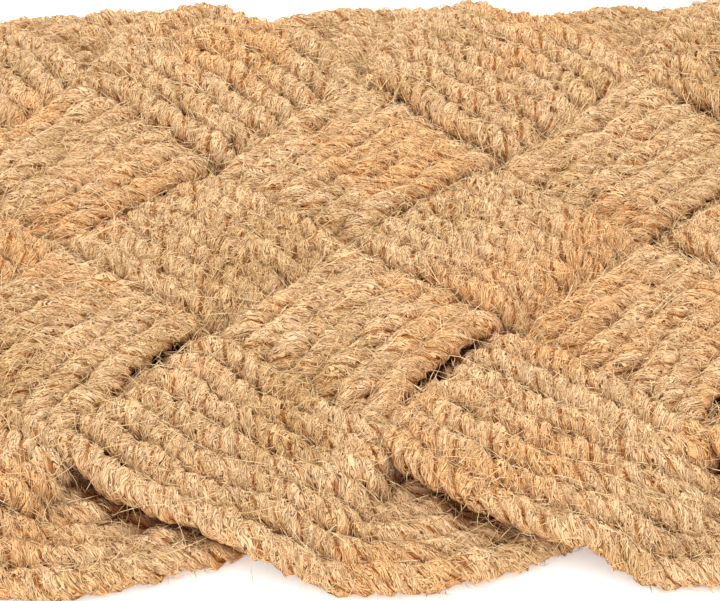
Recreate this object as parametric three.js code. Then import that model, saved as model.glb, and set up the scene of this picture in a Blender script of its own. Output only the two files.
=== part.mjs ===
// A plaited coir door mat: one flat band of ropes that passes over and under itself in a closed circuit.
// Millimetres, +X along the length, +Y across the width, +Z up, with the underside on Z = 0.
import * as THREE from 'three';

// Overall size
const LENGTH = 750;
const WIDTH = 450;

// The plait: lobes along each side. They share no factor, so the band closes into a single circuit.
const LOBES_ALONG = 5;
const LOBES_ACROSS = 3;

// The band's section: a flat hexagon, as thick as one rope
const THICKNESS = 12;
const FLAT_SHARE = 0.88;

// The gap between two layers, and how much higher the middle of an upper layer swells
const LAYER_GAP = 1.5;
const CROWN = 1.2;

// Half widths of the band: where it crosses itself, where it crosses beside a side, and in a lobe.
// These and the shifts below are parts of a lobe's width.
const HALF_INSIDE = 0.29;
const HALF_BESIDE = 0.32;
const HALF_LOBE = 0.3;

// The crossings beside a side lie nearer to it, and the middle of a lobe lies further in
const BESIDE_SHIFT = 0.11;
const LOBE_SHIFT = 0.085;

// How far the middle rows lean, as they do in a plait drawn tight by hand
const LEAN = 0.1;

// Where the band comes down beside a lobe, as a part of the way to it, and how much later inside the turn
const LOBE_DROP = 0.84;
const LOBE_DROP_LATER = 0.22;
const LOBE_DROP_LENGTH = 0.34;

// How much further a crossing reaches along one edge of the band, as a part of the way to the next crossing
const INNER_REACH = 0.08;
const BESIDE_REACH = 0.06;

// Rings of the section between two crossings, closer where the band changes level, and beside a turn
const RINGS = [0, 0.24, 0.4, 0.47, 0.53, 0.6, 0.76];
const TURN_RINGS = [0, 0.14, 0.28, 0.42, 0.57, 0.71, 0.86];

const COIR = 0xc99a5b;

const near = (value, target) => Math.abs(value - target) < 0.01;
const isWhole = (value) => near(value, Math.round(value));

// Stations are the points where the band crosses itself or turns back, in lobe widths from a corner.
// The band runs at 45 degrees and turns back at each side, as a ball does on a table.
function circuitStations() {
  const stations = [];
  const count = 4 * LOBES_ALONG * LOBES_ACROSS;
  let [u, v, du, dv] = [0, 0.5, 0.5, -0.5];
  for (let i = 0; i < count; i += 1) {
    u += du;
    v += dv;
    const atEnd = near(u, 0) || near(u, LOBES_ALONG);
    const atSide = near(v, 0) || near(v, LOBES_ACROSS);
    const turns = atEnd || atSide;
    // Runs that rise to the right lie on top in the half-way columns, the others in the whole ones
    const over = !turns && du * dv > 0 !== isWhole(u);
    // The inside of a turn is on the band's left (1) or on its right (-1)
    const inside = Math.sign(du * dv) * (atEnd ? 1 : -1);
    stations.push({ u, v, atEnd, atSide, turns, over, inside });
    if (atEnd) du = -du;
    if (atSide) dv = -dv;
  }
  return stations;
}

// Moves one coordinate of a station inwards at a turn and outwards at a crossing beside a side
function settled(value, most, turnsHere) {
  const inwards = value < most / 2 ? 1 : -1;
  if (turnsHere) return value + inwards * LOBE_SHIFT;
  if (near(value, 0.5) || near(value, most - 0.5)) return value - inwards * BESIDE_SHIFT;
  return value;
}

// Gives each station its place in the mat's plane and the half width of the band, towards its left
function placeStations(stations) {
  stations.forEach((station) => {
    const { u, v, atEnd, atSide, turns } = station;
    const along = atSide ? u : settled(u, LOBES_ALONG, atEnd);
    const across = atEnd ? v : settled(v, LOBES_ACROSS, atSide);
    const lean = Math.sin((Math.PI * v) / LOBES_ACROSS) * Math.sin(Math.PI * (u / LOBES_ALONG) ** 1.3);
    station.centre = new THREE.Vector3(along - LEAN * lean ** 2, across, 0);
    station.beside = !turns && (along !== u || across !== v);
    station.half = turns ? HALF_LOBE : station.beside ? HALF_BESIDE : HALF_INSIDE;
  });
  stations.forEach((station, i) => {
    station.before = stations.at(i - 1);
    station.after = stations[(i + 1) % stations.length];
    const ahead = station.after.centre.clone().sub(station.before.centre).normalize();
    station.side = new THREE.Vector3(-ahead.y, ahead.x, 0).multiplyScalar(station.half);
  });
  return stations;
}

// The line that a part of the band follows, from its right edge (-1) to its left edge (1)
function lineAcross(stations, part) {
  const points = stations.map((station) => station.centre.clone().addScaledVector(station.side, part));
  return new THREE.CatmullRomCurve3(points, true, 'catmullrom');
}

// Between a crossing beside a side and one further in, the band is wider and bent, and the two reach further:
// the first on the side away from the nearest lobe, the other on the side that faces it
function extraReach(station, next, part) {
  if (station.beside === next.beside) return 0;
  const beside = station.beside ? station : next;
  const turn = beside.before.turns ? beside.before : beside.after;
  const faces = -turn.inside * part;
  return station.beside ? BESIDE_REACH * Math.max(0, -faces) : INNER_REACH * Math.max(0, faces);
}

// How high the band is raised, 0 to 1, between an upper crossing and the station next to it
function raisedTowards(over, next, distance, part) {
  if (next.turns) {
    const start = LOBE_DROP + LOBE_DROP_LATER * next.inside * part - LOBE_DROP_LENGTH / 2;
    return 1 - THREE.MathUtils.smoothstep(distance, start, start + LOBE_DROP_LENGTH);
  }
  const way = over.centre.distanceTo(next.centre);
  const from = (over.half * FLAT_SHARE) / way + extraReach(over, next, part);
  const to = 1 - (next.half * FLAT_SHARE) / way - extraReach(next, over, part);
  return 1 - THREE.MathUtils.smoothstep(distance, from, to);
}

// The height of the band's underside, a number of stations along the circuit
function heightAt(stations, along, part) {
  const count = stations.length;
  let height = 0;
  stations.forEach((station, i) => {
    if (!station.over) return;
    const distance = ((along - i + 1.5 * count) % count) - count / 2;
    if (Math.abs(distance) > 1.5) return;
    const next = distance < 0 ? station.before : station.after;
    const raised = raisedTowards(station, next, Math.abs(distance), part);
    const swell = CROWN * Math.cos(Math.min(Math.abs(distance), 1) * Math.PI / 2) ** 2;
    height = Math.max(height, raised * (THICKNESS + LAYER_GAP + swell));
  });
  return height;
}

// The band's closed surface: one ring of the section at each step of the circuit
function bandGeometry() {
  const stations = placeStations(circuitStations());
  const section = [
    { part: -1, height: THICKNESS / 2 },
    { part: -FLAT_SHARE, height: 0 },
    { part: FLAT_SHARE, height: 0 },
    { part: 1, height: THICKNESS / 2 },
    { part: FLAT_SHARE, height: THICKNESS },
    { part: -FLAT_SHARE, height: THICKNESS },
  ];
  section.forEach((corner) => {
    corner.line = lineAcross(stations, corner.part);
  });
  const positions = [];
  stations.forEach((station, i) => {
    const rings = station.turns || station.after.turns ? TURN_RINGS : RINGS;
    rings.forEach((ring) => {
      const along = i + ring;
      section.forEach(({ part, height, line }) => {
        const { x, y } = line.getPoint(along / stations.length);
        positions.push(x, y, height + heightAt(stations, along, part));
      });
    });
  });
  const rings = stations.length * RINGS.length;
  const corners = section.length;
  const faces = [];
  for (let ring = 0; ring < rings; ring += 1) {
    for (let corner = 0; corner < corners; corner += 1) {
      const here = ring * corners;
      const there = ((ring + 1) % rings) * corners;
      const next = (corner + 1) % corners;
      faces.push(here + corner, here + next, there + next);
      faces.push(here + corner, there + next, there + corner);
    }
  }
  const geometry = new THREE.BufferGeometry();
  geometry.setAttribute('position', new THREE.Float32BufferAttribute(positions, 3));
  geometry.setIndex(faces);
  return geometry;
}

// Brings a geometry in lobe widths to the mat's length and width, centred on the origin
function fitToSize(geometry) {
  geometry.computeBoundingBox();
  const size = geometry.boundingBox.getSize(new THREE.Vector3());
  const middle = geometry.boundingBox.getCenter(new THREE.Vector3());
  geometry.translate(-middle.x, -middle.y, 0);
  geometry.scale(LENGTH / size.x, WIDTH / size.y, 1);
  return geometry;
}

const coir = new THREE.MeshStandardMaterial({ color: COIR, roughness: 0.95, metalness: 0 });
const ropeBand = new THREE.Mesh(fitToSize(bandGeometry()), coir);
ropeBand.name = 'rope_band';

const mat = new THREE.Group();
mat.add(ropeBand);

export default mat;
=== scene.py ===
import math

import bmesh
import bpy
import numpy as np
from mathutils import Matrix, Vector


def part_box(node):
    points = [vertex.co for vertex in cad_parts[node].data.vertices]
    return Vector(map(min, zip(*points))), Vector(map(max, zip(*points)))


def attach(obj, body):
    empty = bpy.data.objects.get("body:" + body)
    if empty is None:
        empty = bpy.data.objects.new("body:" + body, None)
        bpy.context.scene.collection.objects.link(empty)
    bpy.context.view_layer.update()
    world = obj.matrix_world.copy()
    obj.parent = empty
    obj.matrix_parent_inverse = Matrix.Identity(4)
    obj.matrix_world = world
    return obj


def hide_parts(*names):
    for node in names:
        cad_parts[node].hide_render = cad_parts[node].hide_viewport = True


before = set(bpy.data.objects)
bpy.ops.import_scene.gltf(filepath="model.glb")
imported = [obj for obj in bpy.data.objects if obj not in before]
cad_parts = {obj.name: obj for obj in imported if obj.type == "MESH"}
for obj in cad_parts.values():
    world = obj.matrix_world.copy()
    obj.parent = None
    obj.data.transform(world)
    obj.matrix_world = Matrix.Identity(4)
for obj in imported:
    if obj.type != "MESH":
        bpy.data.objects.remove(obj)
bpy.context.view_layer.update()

# The box of the CAD model, which the ropes are sized to fill
mat_lo, mat_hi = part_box("rope_band")
MM = 0.001

# ---------------------------------------------------------------------------
# The plait: a flat band of ropes in one closed circuit, as in the CAD model.
# Places along the plan are in lobe widths, from the front left corner.
# ---------------------------------------------------------------------------
LOBES_ALONG = 5
LOBES_ACROSS = 3
CROSSINGS_AND_TURNS = 4 * LOBES_ALONG * LOBES_ACROSS

# Half the band's width, between the centres of its two outer ropes: where it crosses itself well inside
# the mat, where it crosses itself beside a side, and in a lobe
HALF_INSIDE = 0.275
HALF_BESIDE = 0.341
HALF_LOBE = 0.290

# The crossings beside a side lie nearer to it, and the middle of a lobe lies further in
BESIDE_SHIFT = 0.11
LOBE_SHIFT = 0.12

# How far the middle rows lean, as they do in a plait drawn tight by hand. A skew above 1 moves the
# strongest lean from the middle of the mat to its right.
LEAN = 0.1
LEAN_SKEW = 1.3

# Where the band changes level, as parts of the way from one crossing to the next: the part of its half
# width that stays level, and how much further that reaches along one edge of the band
FLAT_SHARE = 0.9
INNER_REACH = 0.08
BESIDE_REACH = 0.06

# Where the band comes down beside a lobe, and how much later inside the turn
LOBE_DROP = 0.84
LOBE_DROP_LATER = 0.22
LOBE_DROP_LENGTH = 0.34

# The ropes of the band. Pressed flat in the plait, each is a little wider than it is high.
ROPES = 7
ROPE_RADIUS = 6.9 * MM
SQUEEZED_WIDE = 1.16
SQUEEZED_FLAT = 0.97

# The strands of a rope, laid to the right: one turn in each lay, and the radius of a strand and how far
# its middle lies from the rope's, as parts of the rope's radius
STRANDS = 3
LAY = 30 * MM
STRAND_RADIUS = 0.70
STRAND_OFFSET = 0.30

# How finely a rope is modelled, and how far the points of its surface lie in or out
FACES_ROUND = 12
RING_STEP = 3.2 * MM
ROUGHNESS = 0.33 * MM
PLAN_STEPS = 4000
LINE_STEPS = 6000

# Each rope's random draws have seeds of their own, for its line and for its surface
LINE_SEED = 100
SURFACE_SEED = 200

# Hand work: how far a rope wavers to the sides, up and down, in thickness (as a part of it) and in twist
# (in radians), each with the shortest and longest of its waves
WAVES = 14
SIDE_WAVER = 1.3 * MM
SIDE_WAVES = (35 * MM, 200 * MM)
RISE_WAVER = 0.9 * MM
RISE_WAVES = (30 * MM, 120 * MM)
SWELLING = 0.085
SWELLING_WAVES = (18 * MM, 90 * MM)
TWIST_WAVER = 0.7
TWIST_WAVES = (70 * MM, 300 * MM)

# Heights: how far the upper layer lies above the lower one, how much more in the middle of a crossing,
# and how much less the two outer ropes
RAISE = 12.6 * MM
CROWN = 2.2 * MM
EDGE_DROP = 1.0 * MM

# Hollows between the cells, where painted shade darkens the ropes: how far round a place the highest rope
# is looked for, and the depths at which the painted shade begins and is full. It comes in between two
# distances from the CAD box's sides, so that the outline stays clear, and between two slopes, so that the
# underside does: 0 is upright and -1 faces down.
GRID_STEP = 3 * MM
HOLLOW_REACH = 12 * MM
HOLLOW_FROM = 8 * MM
HOLLOW_TO = 16 * MM
EDGE_FADE = (15 * MM, 45 * MM)
DOWNWARD_FADE = (-0.7, -0.1)

# How late the painted warm shade of a rope's flanks comes in below its top
FLANK_CURVE = 1.2

# How far along the map, in metres, the next rope's pattern begins
MAP_STRETCH = 10

# How far the upper band covers the lower one, on either side of a crossing, in stations
COVERED_REACH = 0.42

# Loose fibres stand freely up to the first height, and are bent back so as never to reach the second.
# Beside the mat they do the same at two distances from the CAD box. None lies lower than the last height.
FIBRE_FREE = 29.5 * MM
FIBRE_TOP = 34 * MM
OUTLINE_FREE = 6 * MM
OUTLINE_MOST = 15 * MM
FIBRE_LOWEST = 0.1 * MM


def smoothstep(value, start, end):
    """Rises smoothly from 0 at the start to 1 at the end."""
    share = np.clip((value - start) / (end - start), 0, 1)
    return share * share * (3 - 2 * share)


def circuit_stations():
    """The points where the band crosses itself or turns back, in the order in which it passes them."""
    stations = []
    u, v, step_u, step_v = 0.0, 0.5, 0.5, -0.5
    for _ in range(CROSSINGS_AND_TURNS):
        u += step_u
        v += step_v
        at_end = u in (0, LOBES_ALONG)
        at_side = v in (0, LOBES_ACROSS)
        turns = at_end or at_side
        rises = step_u * step_v > 0
        stations.append({
            "u": u, "v": v, "at_end": at_end, "at_side": at_side, "turns": turns,
            "over": not turns and rises != (u == round(u)),
            "inside": (1 if rises else -1) * (1 if at_end else -1),
        })
        step_u *= -1 if at_end else 1
        step_v *= -1 if at_side else 1
    return stations


def settled(value, most, turns_here):
    """Moves a place inwards at a turn, and outwards at a crossing beside a side."""
    inwards = 1 if value < most / 2 else -1
    if turns_here:
        return value + inwards * LOBE_SHIFT
    if value in (0.5, most - 0.5):
        return value - inwards * BESIDE_SHIFT
    return value


def place_stations(stations):
    """Gives each station its centre, and half the band's width there as a step to the left."""
    for station in stations:
        u, v = station["u"], station["v"]
        along = u if station["at_side"] else settled(u, LOBES_ALONG, station["at_end"])
        across = v if station["at_end"] else settled(v, LOBES_ACROSS, station["at_side"])
        lean = math.sin(math.pi * v / LOBES_ACROSS) * math.sin(math.pi * (u / LOBES_ALONG) ** LEAN_SKEW)
        station["centre"] = np.array([along - LEAN * lean ** 2, across])
        station["beside"] = not station["turns"] and (along != u or across != v)
        if station["turns"]:
            station["half"] = HALF_LOBE
        else:
            station["half"] = HALF_BESIDE if station["beside"] else HALF_INSIDE
    for i, station in enumerate(stations):
        station["before"] = stations[i - 1]
        station["after"] = stations[(i + 1) % len(stations)]
        ahead = station["after"]["centre"] - station["before"]["centre"]
        ahead = ahead / np.linalg.norm(ahead)
        station["side"] = np.array([-ahead[1], ahead[0]]) * station["half"]
    return stations


STATIONS = place_stations(circuit_stations())


def plan_line(part, places):
    """The plan of a rope at places counted in stations, on a smooth curve through all of them.

    A rope's part is -1 at the band's right edge and 1 at its left.
    """
    knots = np.array([station["centre"] + part * station["side"] for station in STATIONS])
    first = np.floor(places).astype(int)
    share = (places - first)[:, None]
    before, here, there, beyond = (knots[(first + k) % len(knots)] for k in (-1, 0, 1, 2))
    return 0.5 * (
        2 * here
        + (there - before) * share
        + (2 * before - 5 * here + 4 * there - beyond) * share ** 2
        + (3 * here - before - 3 * there + beyond) * share ** 3
    )


def extra_reach(station, other, part):
    """How much further a crossing reaches where the band is wider and bent beside a side."""
    if station["beside"] == other["beside"]:
        return 0.0
    beside = station if station["beside"] else other
    turn = beside["before"] if beside["before"]["turns"] else beside["after"]
    faces = -turn["inside"] * part
    return BESIDE_REACH * max(0, -faces) if station["beside"] else INNER_REACH * max(0, faces)


def raised_towards(over, other, distance, part):
    """How high the band is raised, 0 to 1, between an upper crossing and the next station."""
    if other["turns"]:
        start = LOBE_DROP + LOBE_DROP_LATER * other["inside"] * part - LOBE_DROP_LENGTH / 2
        return 1 - smoothstep(distance, start, start + LOBE_DROP_LENGTH)
    way = np.linalg.norm(over["centre"] - other["centre"])
    start = over["half"] * FLAT_SHARE / way + extra_reach(over, other, part)
    end = 1 - other["half"] * FLAT_SHARE / way - extra_reach(other, over, part)
    return 1 - smoothstep(distance, start, end)


def stations_from(i, places):
    """How many stations beyond station i each place lies, the short way round the circuit."""
    count = len(STATIONS)
    return (places - i + 1.5 * count) % count - count / 2


def rope_lift(part, places):
    """How far a rope lies above the lower layer, in metres."""
    lift = np.zeros(len(places))
    for i, over in enumerate(STATIONS):
        if not over["over"]:
            continue
        distance = stations_from(i, places)
        reach = np.abs(distance)
        for other, chosen in ((over["before"], distance < 0), (over["after"], distance >= 0)):
            raised = raised_towards(over, other, reach, part)
            swell = CROWN * np.cos(np.minimum(reach, 1) * math.pi / 2) ** 2
            lift = np.where(chosen & (reach <= 1.5), np.maximum(lift, raised * (RAISE + swell)), lift)
    return lift


def shown_above(places):
    """1 where a rope is open to view from above, 0 where another layer covers it."""
    shown = np.ones(len(places))
    for i, station in enumerate(STATIONS):
        if not station["over"] and not station["turns"]:
            shown = np.where(np.abs(stations_from(i, places)) < COVERED_REACH, 0, shown)
    return shown


def plan_to_metres():
    """A lobe's length and width in metres, and the plan's middle, so that the ropes fill the CAD box."""
    places = np.linspace(0, len(STATIONS), PLAN_STEPS, endpoint=False)
    plans = np.concatenate([plan_line(part, places) for part in (-1, 1)])
    size = np.array(mat_hi - mat_lo)[:2] - 2 * ROPE_RADIUS
    return size / np.ptp(plans, axis=0), (plans.max(axis=0) + plans.min(axis=0)) / 2


LOBE_SIZE, PLAN_MIDDLE = plan_to_metres()


def waver(rng, share, lengths, length):
    """A smooth closed waver, about -1 to 1, of waves between two lengths."""
    shortest, longest = lengths
    waves = rng.integers(int(length / longest), int(length / shortest), WAVES)
    phases = rng.uniform(0, 2 * math.pi, WAVES)
    return sum(np.sin(2 * math.pi * w * share + p) for w, p in zip(waves, phases)) / math.sqrt(WAVES)


def rope_line(number):
    """The closed middle line of one rope in even steps, how it swells and twists, and where it shows."""
    rng = np.random.default_rng(LINE_SEED + number)
    part = -1 + 2 * number / (ROPES - 1)

    def line(places):
        plan = (plan_line(part, places) - PLAN_MIDDLE) * LOBE_SIZE
        lift = rope_lift(part, places)
        # In the upper layer the band's two edges lie a little lower than its middle
        lift = lift - EDGE_DROP * part ** 4 * (lift > RAISE / 2)
        return np.column_stack([plan, ROPE_RADIUS + lift])

    places = np.linspace(0, len(STATIONS), LINE_STEPS + 1)
    dense = line(places)
    travelled = np.concatenate([[0], np.cumsum(np.linalg.norm(np.diff(dense, axis=0), axis=1))])
    length = travelled[-1]
    rings = int(round(length / RING_STEP))
    share = np.arange(rings + 1) / rings
    ring_places = np.interp(share * length, travelled, places)
    centres = line(ring_places)
    above = shown_above(ring_places)
    below = (rope_lift(part, ring_places) < RAISE / 3).astype(float)
    sideways = waver(rng, share, SIDE_WAVES, length) * SIDE_WAVER
    upwards = waver(rng, share, RISE_WAVES, length) * RISE_WAVER
    _, left, up = rope_frames(centres)
    centres = centres + left * sideways[:, None] + up * upwards[:, None]
    swelling = 1 + SWELLING * waver(rng, share, SWELLING_WAVES, length)
    turns = 2 * math.pi * round(length / LAY) * share
    twist = turns + TWIST_WAVER * waver(rng, share, TWIST_WAVES, length)
    return centres, swelling, twist, length, above, below


def rope_frames(centres):
    """The ways ahead, left and up at each ring of a closed rope, whose last ring is its first again."""
    ring = centres[:-1]
    ahead = np.roll(ring, -1, axis=0) - np.roll(ring, 1, axis=0)
    ahead = np.vstack([ahead, ahead[:1]])
    ahead /= np.linalg.norm(ahead, axis=1)[:, None]
    left = np.cross([0, 0, 1], ahead)
    left /= np.linalg.norm(left, axis=1)[:, None]
    return ahead, left, np.cross(ahead, left)


def local_tops(lines):
    """The height of the highest rope within reach of each square of a grid laid over the mat."""
    columns, rows = (int(size / GRID_STEP) + 3 for size in (mat_hi - mat_lo)[:2])
    tops = np.zeros((columns, rows))
    for centres in lines:
        column, row = grid_squares(centres)
        np.maximum.at(tops, (column, row), centres[:, 2] + ROPE_RADIUS)
    reach = int(HOLLOW_REACH / GRID_STEP)
    padded = np.pad(tops, reach)
    steps = range(-reach, reach + 1)
    highest = np.max([
        padded[reach + i:reach + i + columns, reach + j:reach + j + rows]
        for i in steps for j in steps if i * i + j * j <= reach * reach
    ], axis=0)
    # Averaged with the squares round it, so that the shade fades out
    padded = np.pad(highest, 1, mode="edge")
    return np.mean([padded[i:i + columns, j:j + rows] for i in range(3) for j in range(3)], axis=0)


def grid_squares(places):
    """The column and row of each place on the grid."""
    squares = ((places[:, :2] - np.array(mat_lo)[:2]) / GRID_STEP + 1).astype(int)
    most = [int(size / GRID_STEP) + 2 for size in (mat_hi - mat_lo)[:2]]
    return np.clip(squares[:, 0], 0, most[0]), np.clip(squares[:, 1], 0, most[1])


def hollow_shade(places, facing_up, tops):
    """How deep each place lies in a hollow between two cells of the plait, 0 to 1, which sets the painted
    shade there.
    """
    depth = tops[grid_squares(places)] - places[:, 2]
    half_size = np.array(mat_hi)[:2]
    from_edge = (half_size - np.abs(places[:, :2])).min(axis=1)
    shade = smoothstep(depth, HOLLOW_FROM, HOLLOW_TO) * smoothstep(facing_up, *DOWNWARD_FADE)
    return shade * smoothstep(from_edge, *EDGE_FADE)


def strand_outline(angle):
    """The radius of a rope's section at an angle from a strand's middle, as a part of the rope's own."""
    near = (angle + math.pi / STRANDS) % (2 * math.pi / STRANDS) - math.pi / STRANDS
    beyond = np.sqrt(STRAND_RADIUS ** 2 - (STRAND_OFFSET * np.sin(near)) ** 2)
    return STRAND_OFFSET * np.cos(near) + beyond


def mesh_object(name, bm):
    """Puts a finished bmesh into the scene under a name."""
    mesh = bpy.data.meshes.new(name)
    bm.to_mesh(mesh)
    bm.free()
    thing = bpy.data.objects.new(name, mesh)
    bpy.context.collection.objects.link(thing)
    return thing


def give_points(mesh, name, values):
    """Gives every point of a mesh a value that its material reads by name."""
    mesh.attributes.new(name, "FLOAT", "POINT").data.foreach_set("value", values)


def make_rope(number, line, tops):
    """One laid rope as a closed tube: a grid bent round the rope's line, turning with its lay."""
    centres, swelling, twist, length, above, below = line
    rings = len(centres) - 1
    ahead, left, up = rope_frames(centres)

    bm = bmesh.new()
    bm.loops.layers.uv.new("lay")
    bmesh.ops.create_grid(bm, x_segments=rings, y_segments=FACES_ROUND, size=0.5, calc_uvs=True)
    rope = mesh_object(f"rope_{number + 1}", bm)
    mesh = rope.data

    flat = np.zeros(len(mesh.vertices) * 3)
    mesh.vertices.foreach_get("co", flat)
    flat = flat.reshape(-1, 3)
    ring = np.rint((flat[:, 0] + 0.5) * rings).astype(int)
    spoke = np.rint((flat[:, 1] + 0.5) * FACES_ROUND).astype(int)
    rng = np.random.default_rng(SURFACE_SEED + number)
    # Uneven coir: every point of the surface lies a little in or out, the same at both ends of the grid
    rough = rng.normal(0, 1, (rings + 1, FACES_ROUND + 1))
    rough[-1] = rough[0]
    rough[:, -1] = rough[:, 0]
    # The grid's first spoke runs in a groove, half a strand away from a strand's middle
    strand_angle = (spoke / FACES_ROUND) * 2 * math.pi + math.pi / STRANDS
    turned = strand_angle + twist[ring]
    outline = strand_outline(strand_angle)
    radius = ROPE_RADIUS * outline * swelling[ring] + ROUGHNESS * rough[ring, spoke]
    place = centres[ring] + radius[:, None] * (
        SQUEEZED_WIDE * np.cos(turned)[:, None] * left[ring]
        + SQUEEZED_FLAT * np.sin(turned)[:, None] * up[ring]
    )
    place[:, 2] = np.maximum(place[:, 2], 0)
    mesh.vertices.foreach_set("co", place.ravel())

    # How far out a place lies, 0 in a groove and 1 on a strand's middle, with the surface's own pits
    pits = ROUGHNESS * rough[ring, spoke] / ROPE_RADIUS
    give_points(mesh, "strand_height", (outline + pits - outline.min()) / np.ptp(outline))
    # How far down a rope's flank it lies, 0 on top and 1 underneath, which sets the painted warm shade
    # there
    give_points(mesh, "flank", (0.5 - 0.5 * np.sin(turned)) ** FLANK_CURVE)
    # How strongly the painted shade of the mat's hollows darkens each point
    give_points(mesh, "hollow", hollow_shade(place, np.sin(turned), tops))

    # The map is in metres: along the rope, on lines that wind round it with the strands, and round it.
    # Each rope has a stretch of it to itself.
    uv = np.zeros(len(mesh.loops) * 2)
    mesh.uv_layers["lay"].data.foreach_get("uv", uv)
    uv = uv.reshape(-1, 2) * [length, 2 * math.pi * ROPE_RADIUS] + [MAP_STRETCH * number, 0]
    mesh.uv_layers["lay"].data.foreach_set("uv", uv.ravel())

    bm = bmesh.new()
    bm.from_mesh(mesh)
    bmesh.ops.remove_doubles(bm, verts=bm.verts, dist=1e-6)
    bmesh.ops.recalc_face_normals(bm, faces=bm.faces)
    for face in bm.faces:
        face.smooth = True
    bm.to_mesh(mesh)
    bm.free()
    return rope, (centres, ahead, left, up, twist, above, below)


# ---------------------------------------------------------------------------
# Loose fibres that stand off the ropes. Real ones are 0.1 to 0.3 mm thick, too fine to show, so they are
# drawn 0.2 to 0.5 mm thick.
# ---------------------------------------------------------------------------
# Most fibres are rooted where the ropes are open to view from above, the others on the underside.
# They spread round the rope by an angle in radians, and start a little under its surface.
SHARE_ON_TOP = 0.88
ROOT_SPREAD = 0.8
ROOT_DEPTH = 0.3 * MM

# How far a fibre turns away from its strand, in radians, and how far its end sinks back, as a part of
# its length
TURN_SPREAD = 0.95
SINK_MEAN = 0.15
SINK_SPREAD = 0.25

# Above 1 there are more short fibres than long ones. The thinnest and thickest are parts of the usual.
SHORT_ONES = 1.5
THINNEST = 0.7
THICKEST = 1.3


def fibre_copies(name, count, knots):
    """Copies, all in one place, of a closed three-sided spindle from -0.5 to 0.5 with a radius of 1.

    It has 1 or 3 knots, the rings between its two tips, or 0 for a single cone.
    """
    bm = bmesh.new()
    if knots == 0:
        bmesh.ops.create_cone(bm, segments=3, radius1=1, radius2=0, depth=1, cap_ends=True)
    elif knots == 1:
        bmesh.ops.create_cone(bm, segments=3, radius1=1, radius2=0, depth=0.5)
        bmesh.ops.translate(bm, verts=bm.verts, vec=(0, 0, 0.25))
        geometry = bm.verts[:] + bm.edges[:] + bm.faces[:]
        bmesh.ops.mirror(bm, geom=geometry, axis="Z", merge_dist=1e-4)
    else:
        # A prism for the middle, cut across into even lengths, with a pointed end on either side
        bmesh.ops.create_cone(
            bm, segments=3, radius1=1, radius2=1, depth=(knots - 1) / (knots + 1), cap_ends=True)
        ends = [face for face in bm.faces if abs(face.normal.z) > 0.9]
        sides = [edge for edge in bm.edges if abs(edge.verts[0].co.z - edge.verts[1].co.z) > 0.1]
        tips = bmesh.ops.poke(bm, faces=ends)["verts"]
        for tip in tips:
            tip.co.z = math.copysign(0.5, tip.co.z)
        bmesh.ops.subdivide_edges(bm, edges=sides, cuts=knots - 2)
    bmesh.ops.recalc_face_normals(bm, faces=bm.faces)
    for face in bm.faces:
        face.smooth = True
    fibres = mesh_object(name, bm)
    copies = fibres.modifiers.new("copies", "ARRAY")
    copies.count = count
    copies.use_relative_offset = False
    copies.use_constant_offset = False
    spread = bpy.data.meshes.new_from_object(
        fibres.evaluated_get(bpy.context.evaluated_depsgraph_get()))
    fibres.modifiers.clear()
    single = fibres.data
    fibres.data = spread
    bpy.data.meshes.remove(single)
    return fibres


def bent_back(reach, free, most):
    """Fibres that would reach further than a free distance are bent back, and never reach the most."""
    beyond = np.maximum(np.abs(reach) - free, 0)
    bent = free + (most - free) * (1 - np.exp(-beyond / (most - free)))
    return np.where(beyond > 0, np.copysign(bent, reach), reach)


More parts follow.
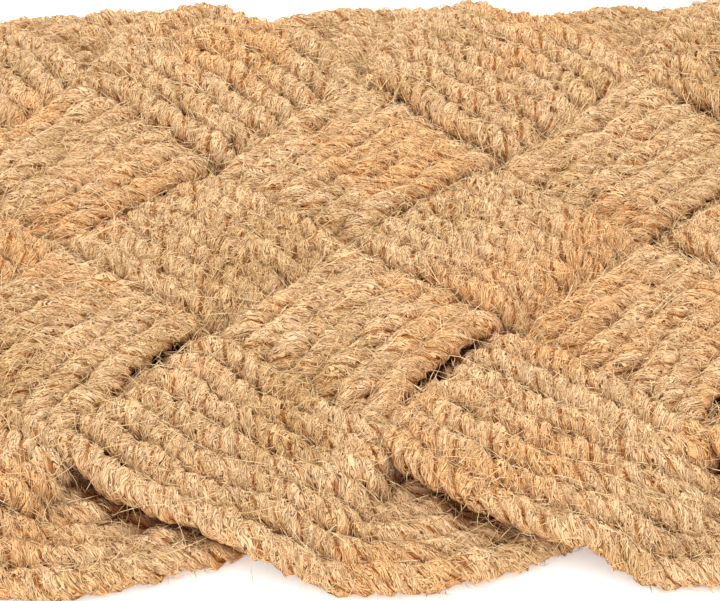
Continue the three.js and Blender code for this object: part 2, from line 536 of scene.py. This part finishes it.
def lay_fibres(name, ropes, tops, seed, count, knots, lengths, thickness, stand, curl_most):
    """Fibres rooted all over the ropes, which leave them at a low angle and curl."""
    rng = np.random.default_rng(seed)
    fibres = fibre_copies(name, count, knots)
    mesh = fibres.data
    single = len(mesh.vertices) // count
    shape = np.zeros(len(mesh.vertices) * 3)
    mesh.vertices.foreach_get("co", shape)
    shape = shape.reshape(count, single, 3)

    # A strand climbs round the rope by one turn in each lay
    climb = 2 * math.pi * ROPE_RADIUS / LAY
    which = rng.integers(0, ROPES, count)
    roots = np.zeros((count, 3))
    outward = np.zeros((count, 3))
    forward = np.zeros((count, 3))
    for number in range(ROPES):
        chosen = np.flatnonzero(which == number)
        centres, ahead, left, up, twist, above, below = ropes[number]
        rings = len(centres) - 1
        on_top = rng.uniform(0, 1, len(chosen)) < SHARE_ON_TOP
        ring = np.where(
            on_top,
            rng.choice(rings, len(chosen), p=above[:-1] / above[:-1].sum()),
            rng.choice(rings, len(chosen), p=below[:-1] / below[:-1].sum()),
        )
        angle = rng.normal(0, ROOT_SPREAD, len(chosen)) + np.where(on_top, math.pi / 2, -math.pi / 2)
        squeezed = (
            SQUEEZED_WIDE * np.cos(angle)[:, None] * left[ring]
            + SQUEEZED_FLAT * np.sin(angle)[:, None] * up[ring]
        )
        radius = ROPE_RADIUS * strand_outline(angle - twist[ring]) - ROOT_DEPTH
        roots[chosen] = centres[ring] + squeezed * radius[:, None]
        outward[chosen] = np.cos(angle)[:, None] * left[ring] + np.sin(angle)[:, None] * up[ring]
        round_way = -np.sin(angle)[:, None] * left[ring] + np.cos(angle)[:, None] * up[ring]
        way = ahead[ring] + climb * round_way
        forward[chosen] = way / np.linalg.norm(way, axis=1)[:, None]

    size = rng.uniform(0, 1, count) ** SHORT_ONES * (lengths[1] - lengths[0]) + lengths[0]
    turn = rng.normal(0, TURN_SPREAD, count) + math.pi * rng.integers(0, 2, count)
    beside = np.cross(outward, forward)
    away = np.cos(turn)[:, None] * forward + np.sin(turn)[:, None] * beside
    lifted = np.abs(rng.normal(0, stand, count))
    away = np.cos(lifted)[:, None] * away + np.sin(lifted)[:, None] * outward
    curl = np.cross(away, outward)
    curl /= np.linalg.norm(curl, axis=1)[:, None]
    bend_side = rng.normal(0, curl_most, count)
    bend_down = -np.abs(rng.normal(SINK_MEAN, SINK_SPREAD, count)) * np.sin(lifted)

    # Along its length a fibre goes straight away from its root, and bends more and more
    share = shape[:, :, 2] + 0.5
    bend = bend_side[:, None] * curl + bend_down[:, None] * outward
    middle = (
        roots[:, None]
        + share[..., None] * (size[:, None] * away)[:, None]
        + (share ** 2)[..., None] * (size[:, None] * bend)[:, None]
    )
    thick = thickness * rng.uniform(THINNEST, THICKEST, count)
    upright = np.cross(curl, away)
    place = middle + (
        shape[:, :, 0, None] * (thick[:, None] * curl)[:, None]
        + shape[:, :, 1, None] * (thick[:, None] * upright)[:, None]
    )
    for axis in (0, 1):
        half = mat_hi[axis]
        place[..., axis] = bent_back(place[..., axis], half + OUTLINE_FREE, half + OUTLINE_MOST)
    place[..., 2] = np.maximum(bent_back(place[..., 2], FIBRE_FREE, FIBRE_TOP), FIBRE_LOWEST)
    place = place.reshape(-1, 3)
    mesh.vertices.foreach_set("co", place.ravel())
    give_points(mesh, "tone", np.repeat(rng.uniform(0, 1, count), single))
    # The painted shade of the mat's hollows, as on the ropes
    give_points(mesh, "hollow", hollow_shade(place, np.repeat(outward[:, 2], single), tops))
    mesh.update()
    return fibres


# ---------------------------------------------------------------------------
# Materials. In a Mix node of colours 0 is the factor, 6 and 7 are the colours, and output 2 is the result.
# ---------------------------------------------------------------------------
def colour(code):
    """A linear colour from sRGB hex, with two more digits for one that covers only in part."""
    red, green, blue, cover = [int(code[i:i + 2] or "ff", 16) / 255 for i in (1, 3, 5, 7)]
    return tuple(
        c / 12.92 if c <= 0.04045 else ((c + 0.055) / 1.055) ** 2.4 for c in (red, green, blue)
    ) + (cover,)


def add_node(tree, kind, settings=(), inputs=(), stops=()):
    """Adds a node with its settings and inputs, each a value or an output to link.

    A ramp's stops are given with its two ends first, and then those between them.
    """
    made = tree.nodes.new(kind)
    for name, value in dict(settings).items():
        setattr(made, name, value)
    for name, value in dict(inputs).items():
        if isinstance(value, bpy.types.NodeSocket):
            tree.links.new(value, made.inputs[name])
        else:
            made.inputs[name].default_value = value
    for i, (place, code) in enumerate(stops):
        stop = made.color_ramp.elements[i] if i < 2 else made.color_ramp.elements.new(place)
        stop.position = place
        stop.color = colour(code)
    return made


def new_material(name):
    """An empty material, and the tree that its nodes go into."""
    material = bpy.data.materials.new(name)
    material.use_nodes = True
    material.node_tree.nodes.clear()
    return material, material.node_tree


# Coir rope: coarse coconut fibre spun into strands. Dry and matt, with pale hairs, each edged with a
# painted shadow, that cross over a brown ground with painted shade in its gaps, mostly along the strands;
# painted shade in the grooves and the mat's hollows, a painted warm shade down the flanks, and an orange
# or olive cast in places.
# Painted shadow along each hair's edge
PAINTED_HAIR_SHADOW = "#543012"
# Painted shade in the mat's hollows
PAINTED_HOLLOW_SHADE = "#8c6446"
# Painted warm shade down the ropes' flanks and underneath
PAINTED_FLANK_SHADE = "#f6e0c4"

# Real hairs are 0.1 to 0.3 mm wide, too fine to show, so most are drawn about a third of a millimetre
# wide, with a painted dark shadow along each edge. Each follows a line where a noise of this spacing is at
# its middle value, and ends at the edge's distance from that value.
HAIR_SPACING = 1.45 * MM
HAIR_EDGE = 0.1

# Each layer of hairs begins this much further on, in metres, for every degree that it is turned
LAYER_SHIFT = 0.013

# The hairs wander from their way: the length of a wave, and the most that one could be
WANDER_LENGTH = 7 * MM
WANDER_MOST = 6 * MM

# The length and width of packed fibres and of fine streaks, also drawn coarser than real ones, and the
# streaks' turn from the strand's way, in radians
PACKED_SIZE = (9 * MM, 1.0 * MM)
STREAK_SIZE = (7 * MM, 0.6 * MM)
STREAK_TURN = 0.12

# How wide the orange and olive casts are, and how far the hairs stand up
CAST_WIDTH = 62.5 * MM
BUMP_HEIGHT = 0.4 * MM


def coir_rope():
    material, tree = new_material("coir_rope")
    lay = add_node(tree, "ShaderNodeUVMap", {"uv_map": "lay"}).outputs["UV"]
    where = add_node(tree, "ShaderNodeTexCoord").outputs["Object"]

    # The fibres wander to either side, mostly by less than a millimetre
    wander = add_node(tree, "ShaderNodeTexNoise", {"noise_dimensions": "2D"}, {
        "Vector": lay, "Scale": 1 / WANDER_LENGTH, "Detail": 1.0}).outputs["Color"]
    centred = add_node(tree, "ShaderNodeVectorMath", {"operation": "SUBTRACT"}, {
        0: wander, 1: (0.5, 0.5, 0.5)}).outputs["Vector"]
    bent = add_node(tree, "ShaderNodeVectorMath", {"operation": "MULTIPLY_ADD"}, {
        0: centred, 1: (WANDER_MOST, WANDER_MOST, 0), 2: lay}).outputs["Vector"]

    # The ground under the hairs: packed fibres along the strand, brown with tan streaks, its darkest brown
    # a painted shade in the gaps between fibres
    packed_way = add_node(tree, "ShaderNodeMapping", {"vector_type": "TEXTURE"}, {
        "Vector": bent, "Scale": (*PACKED_SIZE, 1)}).outputs["Vector"]
    packed = add_node(tree, "ShaderNodeTexNoise", {"noise_dimensions": "2D"}, {
        "Vector": packed_way, "Scale": 1.0, "Detail": 1.0}).outputs["Fac"]
    tint = add_node(tree, "ShaderNodeValToRGB", inputs={"Fac": packed}, stops=(
        (0.25, "#3e1e08"), (0.75, "#e9c394"), (0.35, "#a5744a"), (0.45, "#dbb080"),
    )).outputs["Color"]
    height = add_node(tree, "ShaderNodeMath", {"operation": "MULTIPLY"}, {
        0: packed, 1: 0.6}).outputs[0]

    # Hairs on top of it in layers, pale with a thin painted shadow along each edge: degrees from the
    # strand's way, length, tone
    for turn, length, pale in (
        (8, 8 * MM, "#dfb98c"),
        (-30, 7 * MM, "#e0bc90"),
        (28, 7 * MM, "#e1be93"),
        (-62, 6 * MM, "#e2c096"),
        (-10, 8 * MM, "#e3c298"),
        (56, 6 * MM, "#e4c39a"),
    ):
        along_hair = add_node(tree, "ShaderNodeMapping", {"vector_type": "TEXTURE"}, {
            "Vector": bent, "Location": (turn * LAYER_SHIFT, 0, 0),
            "Rotation": (0, 0, math.radians(turn)),
            "Scale": (length, HAIR_SPACING, 1)}).outputs["Vector"]
        noise = add_node(tree, "ShaderNodeTexNoise", {"noise_dimensions": "2D"}, {
            "Vector": along_hair, "Scale": 1.0, "Detail": 0.0}).outputs["Fac"]
        off_middle = add_node(tree, "ShaderNodeMath", {"operation": "SUBTRACT"}, {
            0: noise, 1: 0.5}).outputs[0]
        from_middle = add_node(tree, "ShaderNodeMath", {"operation": "ABSOLUTE"}, {
            0: off_middle}).outputs[0]
        # Pale, then the painted dark shadow along the hair's edge, and then clear, so that the layers
        # below show between the hairs
        hair = add_node(tree, "ShaderNodeValToRGB", inputs={"Fac": from_middle}, stops=(
            (0.0, pale), (HAIR_EDGE * 1.65, PAINTED_HAIR_SHADOW + "00"),
            (HAIR_EDGE * 0.8, pale), (HAIR_EDGE * 1.1, PAINTED_HAIR_SHADOW),
        ))
        tint = add_node(tree, "ShaderNodeMix", {"data_type": "RGBA"}, {
            0: hair.outputs["Alpha"], 6: tint, 7: hair.outputs["Color"]}).outputs[2]
        crest = add_node(tree, "ShaderNodeMapRange", {"interpolation_type": "SMOOTHSTEP"}, {
            "Value": from_middle, "From Max": HAIR_EDGE,
            "To Min": 1.0, "To Max": 0.0}).outputs["Result"]
        height = add_node(tree, "ShaderNodeMath", {"operation": "MAXIMUM"}, {
            0: height, 1: crest}).outputs[0]

    # Fine streaks over everything, so that no hair is one even tone
    fine_way = add_node(tree, "ShaderNodeMapping", {"vector_type": "TEXTURE"}, {
        "Vector": bent, "Rotation": (0, 0, STREAK_TURN),
        "Scale": (*STREAK_SIZE, 1)}).outputs["Vector"]
    fine = add_node(tree, "ShaderNodeTexNoise", {"noise_dimensions": "2D"}, {
        "Vector": fine_way, "Scale": 1.0, "Detail": 2.0}).outputs["Fac"]
    streak = add_node(tree, "ShaderNodeValToRGB", inputs={"Fac": fine}, stops=(
        (0.28, "#8e6b49"), (0.52, "#ffffff"), (0.40, "#f0e2d4"),
    )).outputs["Color"]
    tint = add_node(tree, "ShaderNodeMix", {"data_type": "RGBA", "blend_type": "MULTIPLY"}, {
        0: 1.0, 6: tint, 7: streak}).outputs[2]

    # Orange and olive casts about 60 mm across
    drift = add_node(tree, "ShaderNodeTexNoise", inputs={
        "Vector": where, "Scale": 1 / CAST_WIDTH, "Detail": 2.0}).outputs["Fac"]
    cast = add_node(tree, "ShaderNodeValToRGB", inputs={"Fac": drift}, stops=(
        (0.34, "#ece5d4"), (0.66, "#ffefda"), (0.5, "#ffffff"),
    )).outputs["Color"]
    toned = add_node(tree, "ShaderNodeMix", {"data_type": "RGBA", "blend_type": "MULTIPLY"}, {
        0: 1.0, 6: tint, 7: cast}).outputs[2]

    # Painted shade in the grooves between strands, a painted warm shade down the flanks, and a painted
    # brown shade in the mat's hollows
    strand = add_node(tree, "ShaderNodeAttribute", {"attribute_name": "strand_height"}).outputs["Fac"]
    # Painted shade in the grooves between strands and in the surface's pits
    groove = add_node(tree, "ShaderNodeValToRGB", inputs={"Fac": strand}, stops=(
        (0.0, "#bf9f82"), (0.34, "#ffffff"), (0.15, "#f1e3d2"),
    )).outputs["Color"]
    shaded = add_node(tree, "ShaderNodeMix", {"data_type": "RGBA", "blend_type": "MULTIPLY"}, {
        0: 1.0, 6: toned, 7: groove}).outputs[2]
    for part, code in (("flank", PAINTED_FLANK_SHADE), ("hollow", PAINTED_HOLLOW_SHADE)):
        cover = add_node(tree, "ShaderNodeAttribute", {"attribute_name": part}).outputs["Fac"]
        shaded = add_node(tree, "ShaderNodeMix", {"data_type": "RGBA", "blend_type": "MULTIPLY"}, {
            0: cover, 6: shaded, 7: colour(code)}).outputs[2]

    bump = add_node(tree, "ShaderNodeBump", inputs={
        "Height": height, "Strength": 0.45, "Distance": BUMP_HEIGHT}).outputs["Normal"]
    shader = add_node(tree, "ShaderNodeBsdfPrincipled", inputs={
        "Base Color": shaded, "Roughness": 0.92, "Normal": bump, "Specular IOR Level": 0.05})
    add_node(tree, "ShaderNodeOutputMaterial", inputs={"Surface": shader.outputs["BSDF"]})
    return material


# Loose coir fibre: single stiff hairs, from brown to pale straw, a little glossier than the rope
def loose_coir():
    material, tree = new_material("loose_coir_fibre")
    tone = add_node(tree, "ShaderNodeAttribute", {"attribute_name": "tone"}).outputs["Fac"]
    tint = add_node(tree, "ShaderNodeValToRGB", inputs={"Fac": tone}, stops=(
        (0.0, "#7e4c20"), (1.0, "#e8cc9e"), (0.14, "#cc9e69"), (0.4, "#e2c193"),
    )).outputs["Color"]
    # Painted shade in the mat's hollows, as on the ropes
    sunk = add_node(tree, "ShaderNodeAttribute", {"attribute_name": "hollow"}).outputs["Fac"]
    shaded = add_node(tree, "ShaderNodeMix", {"data_type": "RGBA", "blend_type": "MULTIPLY"}, {
        0: sunk, 6: tint, 7: colour(PAINTED_HOLLOW_SHADE)}).outputs[2]
    shader = add_node(tree, "ShaderNodeBsdfPrincipled", inputs={
        "Base Color": shaded, "Roughness": 0.7, "Specular IOR Level": 0.08})
    add_node(tree, "ShaderNodeOutputMaterial", inputs={"Surface": shader.outputs["BSDF"]})
    return material


# Painted studio floor: even, matt and nearly white, with a faint glow that keeps it pale round the mat
def studio_floor():
    material, tree = new_material("painted_studio_floor")
    shader = add_node(tree, "ShaderNodeBsdfPrincipled", inputs={
        "Base Color": colour("#f8f8f7"), "Roughness": 0.9, "Specular IOR Level": 0.1,
        "Emission Color": colour("#ffffff"), "Emission Strength": 0.3})
    add_node(tree, "ShaderNodeOutputMaterial", inputs={"Surface": shader.outputs["BSDF"]})
    return material


# ---------------------------------------------------------------------------
# The mat
# ---------------------------------------------------------------------------
rope_material = coir_rope()
fibre_material = loose_coir()
pieces = []
laid = []
lines = [rope_line(number) for number in range(ROPES)]
tops = local_tops([line[0] for line in lines])
for number, line in enumerate(lines):
    rope, facts = make_rope(number, line, tops)
    rope.data.materials.append(rope_material)
    pieces.append(rope)
    laid.append(facts)

# Name, seed, number of fibres, their knots, the shortest and the longest, the radius of their section, and
# how far they stand off the rope, in radians, and curl to a side, as a part of their length
for name, seed, count, knots, lengths, thickness, stand, curl_most in (
    ("fuzz", 11, 44000, 0, (3 * MM, 7 * MM), 0.22 * MM, 0.4, 0.3),
    ("short_fibres_1", 12, 28000, 1, (5 * MM, 11 * MM), 0.19 * MM, 0.35, 0.7),
    ("short_fibres_2", 15, 28000, 1, (5 * MM, 11 * MM), 0.19 * MM, 0.35, 0.7),
    ("long_fibres_1", 13, 4500, 3, (9 * MM, 26 * MM), 0.15 * MM, 0.3, 0.75),
    ("long_fibres_2", 14, 4500, 3, (9 * MM, 26 * MM), 0.15 * MM, 0.3, 0.75),
):
    fibres = lay_fibres(name, laid, tops, seed, count, knots, lengths, thickness, stand, curl_most)
    fibres.data.materials.append(fibre_material)
    pieces.append(fibres)

for piece in pieces:
    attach(piece, "root")
    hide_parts("rope_band")

# ---------------------------------------------------------------------------
# Floor, light and camera
# ---------------------------------------------------------------------------
# The floor lies a little under the mat, so that no two faces share a place
FLOOR_GAP = 0.2 * MM
FLOOR_HALF = 6
bm = bmesh.new()
bmesh.ops.create_grid(bm, x_segments=1, y_segments=1, size=FLOOR_HALF)
bmesh.ops.translate(bm, verts=bm.verts, vec=(0, 0, -FLOOR_GAP))
floor = mesh_object("floor", bm)
floor.data.materials.append(studio_floor())

scene = bpy.context.scene
scene.view_settings.view_transform = "Standard"
# A white studio: most of the light comes evenly from all round
STUDIO_STRENGTH = 2.0
world = bpy.data.worlds.new("studio")
world.use_nodes = True
background = world.node_tree.nodes["Background"]
background.inputs["Color"].default_value = colour("#ffffff")
background.inputs["Strength"].default_value = STUDIO_STRENGTH
scene.world = world


def soft_light(name, place, aim, size, power):
    """A rectangular soft light of a size in metres and a power in watts, aimed at a point."""
    lamp = bpy.data.lights.new(name, "AREA")
    lamp.shape = "RECTANGLE"
    lamp.size, lamp.size_y = size
    lamp.energy = power
    thing = bpy.data.objects.new(name, lamp)
    thing.location = place
    thing.rotation_euler = (Vector(aim) - Vector(place)).to_track_quat("-Z", "Y").to_euler()
    bpy.context.collection.objects.link(thing)


# Two faint lights, over the mat's left and low behind it, give the ropes a little shape
soft_light("overhead_softbox", (-0.6, 0.5, 1.8), (0, 0, 0), (1.4, 1.4), 2)
soft_light("back_softbox", (-0.2, 1.0, 0.8), (0, 0.1, 0), (1.2, 0.6), 4)

# The camera's place round the point that it looks at, in degrees and metres, and its lens and sensor in
# millimetres
CAMERA_AZIMUTH = -1.05
CAMERA_ELEVATION = 36.5
CAMERA_DISTANCE = 1.5
CAMERA_AIM = (-0.008, -0.0346, 0.014)
LENS = 165.3
SENSOR_WIDTH = 36

camera_data = bpy.data.cameras.new("camera")
camera_data.lens = LENS
camera_data.sensor_width = SENSOR_WIDTH
camera_data.clip_start, camera_data.clip_end = 0.05, 50
camera = bpy.data.objects.new("camera", camera_data)
azimuth, elevation = math.radians(CAMERA_AZIMUTH), math.radians(CAMERA_ELEVATION)
back = Vector((
    math.sin(azimuth) * math.cos(elevation),
    -math.cos(azimuth) * math.cos(elevation),
    math.sin(elevation),
))
camera.location = Vector(CAMERA_AIM) + CAMERA_DISTANCE * back
camera.rotation_euler = (-back).to_track_quat("-Z", "Y").to_euler()
bpy.context.collection.objects.link(camera)
scene.camera = camera
